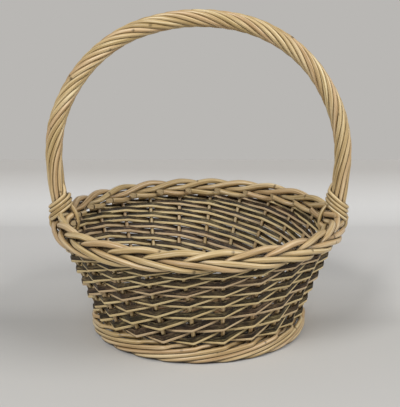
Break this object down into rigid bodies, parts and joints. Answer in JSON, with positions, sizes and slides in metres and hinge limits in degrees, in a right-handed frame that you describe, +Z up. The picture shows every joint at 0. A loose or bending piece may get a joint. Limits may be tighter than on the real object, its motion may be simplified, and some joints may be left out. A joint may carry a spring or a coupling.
{
  "type": "flower basket",
  "caption": "Round woven willow basket with flared sides, a plaited rim and foot, and a tall roped bow handle fixed at both sides.",
  "frame": {"origin": "centre of the bounding box on the floor: the middle of the basket at the level that it stands on", "axes": "+Z up; X runs along the handle from foot to foot; the pictured front faces -Y"},
  "size_m": [0.3067, 0.2972, 0.322],
  "materials": {
    "peeled_willow": "satin, peeled willow rods",
    "split_willow_bark": "matt, split willow with its bark on the outside"
  },
  "bodies": {
    "root": {"stake_01": "peeled_willow", "stake_02": "peeled_willow", "stake_03": "peeled_willow", "stake_04": "peeled_willow", "stake_05": "peeled_willow", "stake_06": "peeled_willow", "stake_07": "peeled_willow", "stake_08": "peeled_willow", "stake_09": "peeled_willow", "stake_10": "peeled_willow", "stake_11": "peeled_willow", "stake_12": "peeled_willow", "stake_13": "peeled_willow", "stake_14": "peeled_willow", "stake_15": "peeled_willow", "stake_16": "peeled_willow", "stake_17": "peeled_willow", "stake_18": "peeled_willow", "stake_19": "peeled_willow", "stake_20": "peeled_willow", "stake_21": "peeled_willow", "stake_22": "peeled_willow", "stake_23": "peeled_willow", "stake_24": "peeled_willow", "side_weaver_01": "split_willow_bark", "side_weaver_02": "split_willow_bark", "side_weaver_03": "split_willow_bark", "side_weaver_04": "split_willow_bark", "side_weaver_05": "split_willow_bark", "side_weaver_06": "split_willow_bark", "side_weaver_07": "split_willow_bark", "side_weaver_08": "split_willow_bark", "side_weaver_09": "split_willow_bark", "side_weaver_10": "split_willow_bark", "side_weaver_11": "split_willow_bark", "side_weaver_12": "split_willow_bark", "side_weaver_13": "split_willow_bark", "side_weaver_14": "split_willow_bark", "side_weaver_15": "split_willow_bark", "side_weaver_16": "split_willow_bark", "side_weaver_17": "split_willow_bark", "side_weaver_18": "split_willow_bark", "side_weaver_19": "split_willow_bark", "side_weaver_20": "split_willow_bark", "side_weaver_21": "split_willow_bark", "side_weaver_22": "split_willow_bark", "side_weaver_23": "split_willow_bark", "side_weaver_24": "split_willow_bark", "base_cross": "peeled_willow", "base_weaver": "split_willow_bark", "handle_bow": "peeled_willow", "handle_strand_01": "peeled_willow", "handle_strand_02": "peeled_willow", "handle_strand_03": "peeled_willow", "handle_strand_04": "peeled_willow", "handle_strand_05": "peeled_willow", "handle_strand_06": "peeled_willow", "handle_strand_07": "peeled_willow", "handle_strand_08": "peeled_willow", "handle_strand_09": "peeled_willow"}
  },
  "joints": []
}
